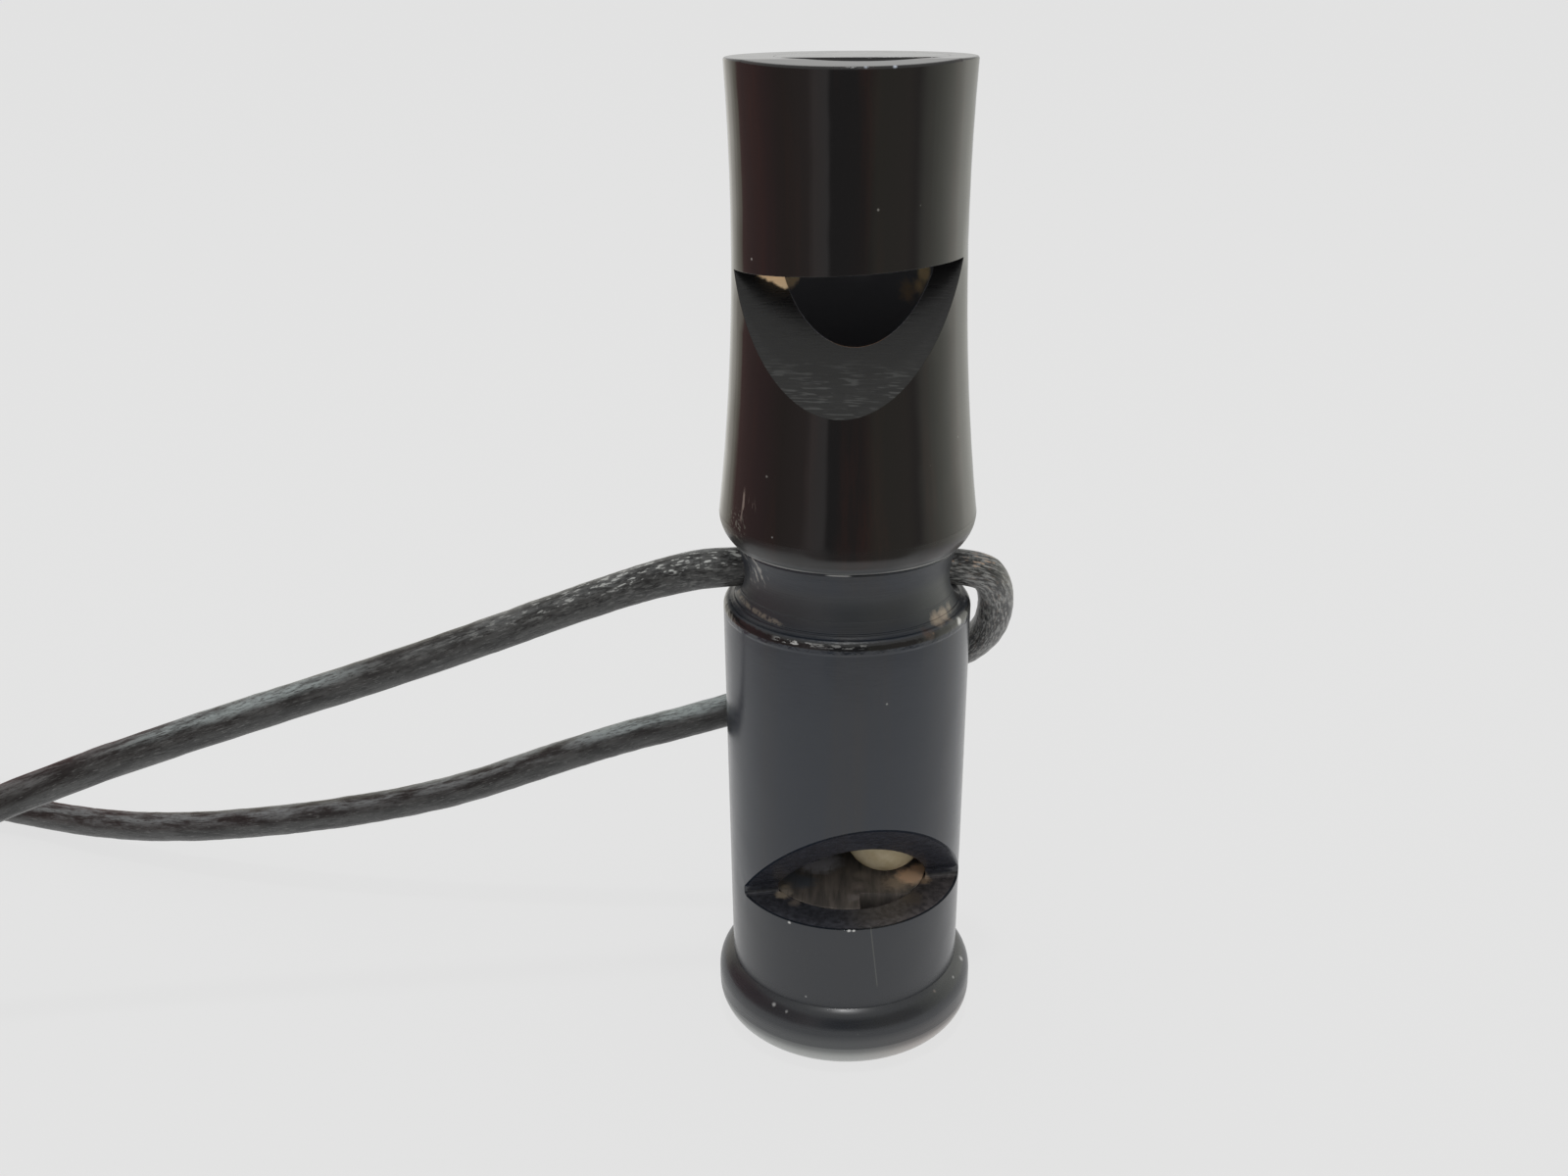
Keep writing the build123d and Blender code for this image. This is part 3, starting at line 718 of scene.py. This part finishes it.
def leather(name, grime, sheen_tint, scrape_and_sheen_tint, glint_and_scuff_tint):
    """Black leather: lengthwise grain, patches of painted sheen on its upward-facing side, a painted
    highlight along the top further from the hole, and scrapes, cracks and painted glints where it leaves the
    hole.
    """
    surface = Surface(name)
    straight = surface.add("ShaderNodeAttribute", {}, attribute_name="straight").outputs["Vector"]
    along = surface.axis(straight, "Z")
    slope = surface.axis(surface.own_normal(), "Z")
    wrinkle = surface.grain(surface.stretch(straight, (1, 1, 0.16)), 1.4, detail=4.0, roughness=0.65)
    hair_line = surface.grain(surface.stretch(straight, (1, 1, 0.12)), 11.0)
    fine = surface.grain(surface.stretch(straight, (1, 1, 0.2)), 7.0, detail=4.0, roughness=0.65)
    crackle = surface.grain(surface.stretch(straight, (1, 1, 0.28)), 4.0, detail=2.0, roughness=0.6)
    raised = surface.between(wrinkle, 0.32, 0.70)
    surface.colour = surface.mix(raised, (0.014, 0.0145, 0.0145, 1), (0.066, 0.067, 0.066, 1))
    surface.paint(surface.between(hair_line, 0.58, 0.70, 0.0, 0.55), (0.17, 0.17, 0.165, 1))
    surface.paint(surface.between(fine, 0.45, 0.32, 0.0, grime), (0.008, 0.008, 0.008, 1))
    # Patches of painted sheen on the upward-facing side
    painted_sheen_patches = surface.all_of(surface.between(wrinkle, 0.40, 0.60), surface.between(fine, 0.38, 0.55, 0.3, 1.0))
    surface.paint(surface.all_of(surface.between(slope, 0.25, 0.95), painted_sheen_patches), sheen_tint)
    # Scrapes near the hole; the lower strand's lighter tint there is partly painted sheen on its bight
    at_hole = surface.between(along, 34.0, 20.0)
    surface.paint(surface.all_of(at_hole, surface.between(fine, 0.46, 0.60)), scrape_and_sheen_tint)
    # Dark cracks and painted glints on the upward, front-facing shoulder near the hole
    shoulder = surface.between(slope, 0.25, 0.60, 0.12, 1.0)
    cracks_and_glints = surface.all_of(shoulder, surface.between(along, 40.0, 12.0))
    surface.paint(surface.all_of(cracks_and_glints, surface.between(crackle, 0.46, 0.38)), (0.005, 0.005, 0.005, 1))
    surface.paint(surface.all_of(cracks_and_glints, surface.between(crackle, 0.56, 0.64)), glint_and_scuff_tint)
    # Painted highlight along the top of the cord, further from the hole
    top = surface.all_of(surface.between(slope, 0.40, 0.85), surface.band(along, 48.0, 57.0, 9.0))
    highlight_grain = surface.between(fine, 0.36, 0.56, 0.2, 1.0)
    highlight_wrinkle = surface.between(wrinkle, 0.34, 0.56, 0.3, 1.0)
    surface.paint(surface.all_of(top, highlight_grain, highlight_wrinkle), (0.34, 0.385, 0.385, 1))
    surface.roughness = surface.between(fine, 0.25, 0.75, 0.26, 0.46)
    surface.dent(wrinkle, 0.12, 0.6)
    surface.dent(fine, 0.05, 0.8)
    return surface.finish(ior=1.52)


def dress(piece, material):
    piece.data.materials.clear()
    piece.data.materials.append(material)


def make_floor():
    """Pale table that glows evenly, so that only a faint shadow lies round the foot."""
    reach = 6.0
    corners = [(-reach, -reach, 0), (reach, -reach, 0), (reach, reach, 0), (-reach, reach, 0)]
    floor = add_piece("floor", corners, [(0, 1, 2, 3)])
    shader = Shader("pale_floor")
    shader.set(Base_Color=(0.10, 0.10, 0.10, 1), Roughness=1.0, Specular_IOR_Level=0.0,
               Emission_Color=(0.70, 0.70, 0.70, 1), Emission_Strength=1.0)
    dress(floor, shader.material)


# Dim surround of the object, seen only in its polish: angle from the front in degrees, and colour
SURROUND = [
    (-160, (1.00, 0.99, 0.94)),
    (-140, (0.95, 0.92, 0.84)),
    (-122, (0.56, 0.51, 0.43)),
    (-118, (0.30, 0.18, 0.17)),
    (-80, (0.28, 0.17, 0.17)),
    (-60, (0.21, 0.165, 0.15)),
    (-38, (0.27, 0.22, 0.21)),
    (-31, (0.44, 0.38, 0.37)),
    (-20, (0.42, 0.40, 0.40)),
    (-16, (0.12, 0.12, 0.125)),
    (14, (0.13, 0.13, 0.13)),
    (24, (0.27, 0.26, 0.22)),
    (52, (0.29, 0.26, 0.23)),
    (62, (0.23, 0.21, 0.20)),
    (70, (0.47, 0.47, 0.42)),
    (90, (0.76, 0.77, 0.68)),
    (122, (1.20, 1.20, 1.10)),
    (160, (0.60, 0.60, 0.57)),
]
SURROUND_FIRST = SURROUND[0][0]
SURROUND_LAST = SURROUND[-1][0]


def surround_glow():
    """Glow that changes with the angle from the front, as the surround's stops say."""
    shader = Shader("surround")
    place = shader.own_place()
    towards_front = shader.math("MULTIPLY", shader.axis(place, "Y"), -1.0)
    angle = shader.math("ARCTAN2", shader.axis(place, "X"), towards_front)
    span = {
        "Value": angle,
        "From Min": math.radians(SURROUND_FIRST),
        "From Max": math.radians(SURROUND_LAST),
    }
    share = shader.add("ShaderNodeMapRange", span).outputs["Result"]
    ramp = shader.add("ShaderNodeValToRGB", {"Fac": share})
    stops = ramp.color_ramp.elements
    while len(stops) < len(SURROUND):
        stops.new(1.0)
    for stop, (degrees, colour) in zip(stops, SURROUND):
        stop.position = (degrees - SURROUND_FIRST) / (SURROUND_LAST - SURROUND_FIRST)
        stop.color = (*colour, 1)
    shader.set(Base_Color=(0, 0, 0, 1), Specular_IOR_Level=0.0, Roughness=1.0,
               Emission_Color=ramp.outputs["Color"], Emission_Strength=1.0)
    return shader.material


def make_surround():
    """Low curved wall, open behind the object."""
    radius = 0.10
    height = 0.10
    steps = 120
    verts = []
    for step in range(steps + 1):
        angle = math.radians(SURROUND_FIRST + (SURROUND_LAST - SURROUND_FIRST) * step / steps)
        for z in (0, height):
            verts.append((math.sin(angle) * radius, -math.cos(angle) * radius, z))
    faces = [(2 * i, 2 * i + 1, 2 * i + 3, 2 * i + 2) for i in range(steps)]
    surround = add_piece("surround", verts, faces)
    surround.visible_camera = False
    surround.visible_diffuse = False
    surround.visible_shadow = False
    surround.visible_transmission = False
    dress(surround, surround_glow())


def make_lamp():
    """One small lamp overhead, a little in front of the object."""
    place = Vector((0.01, -0.10, 0.80))
    aim = Vector((0, 0, 0.04))
    data = bpy.data.lights.new("overhead_lamp", "AREA")
    data.shape = "DISK"
    data.size = 0.06
    data.energy = 0.8
    lamp = bpy.data.objects.new("overhead_lamp", data)
    lamp.location = place
    lamp.rotation_euler = (aim - place).to_track_quat("-Z", "Y").to_euler()
    bpy.context.scene.collection.objects.link(lamp)


def make_world():
    world = bpy.data.worlds.new("studio")
    world.use_nodes = True
    background = world.node_tree.nodes["Background"]
    background.inputs["Color"].default_value = (0.62, 0.62, 0.61, 1)
    background.inputs["Strength"].default_value = 1.0
    bpy.context.scene.world = world


make_camera()

# The cord's pieces
upper_line = nurbs_line(UPPER_STRAND + coil_points() + UPPER_STRAND_END, resolution=14)
lower_line = nurbs_line(LOWER_STRAND, resolution=22)
upper_strand = leather_tube("upper_strand", upper_line, seed=3, swelling=0.16)
lower_strand = leather_tube("lower_strand", lower_line, seed=11)
knot = leather_tube("end_knot", nurbs_line(knot_points(), resolution=8), seed=23)
tie = make_tie()

# Materials
polished_horn = upper_horn()
black_leather = leather("black_leather", grime=0.8, sheen_tint=(0.15, 0.155, 0.155, 1),
                        scrape_and_sheen_tint=(0.07, 0.07, 0.068, 1), glint_and_scuff_tint=(0.55, 0.56, 0.54, 1))
# Lower strand: lighter tints, partly wear and partly painted sheen where the bight catches the light
worn_leather_with_painted_sheen = leather("worn_leather_with_painted_sheen", grime=0.4, sheen_tint=(0.20, 0.215, 0.22, 1),
                       scrape_and_sheen_tint=(0.27, 0.27, 0.26, 1), glint_and_scuff_tint=(0.46, 0.33, 0.24, 1))
dress(nodes["upper_barrel"], polished_horn)
dress(nodes["upper_fipple_plug"], polished_horn)
dress(nodes["lower_barrel"], lower_horn())
dress(nodes["lower_fipple_plug"], plug_horn())
dress(nodes["pea"], pea_cream())
dress(upper_strand, black_leather)
dress(lower_strand, worn_leather_with_painted_sheen)
dress(knot, black_leather)
dress(tie, black_leather)

# What the cord's pieces ride on, are made of and stand for
for piece in (upper_strand, lower_strand, knot, tie):
    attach(piece, "whistle")
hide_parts("neck_cord", "cord_coil")
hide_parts("neck_cord")
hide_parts("cord_knot")
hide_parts("coil_tie")

# The table and the light
make_floor()
make_surround()
make_world()
make_lamp()
bpy.context.scene.view_settings.view_transform = "Standard"
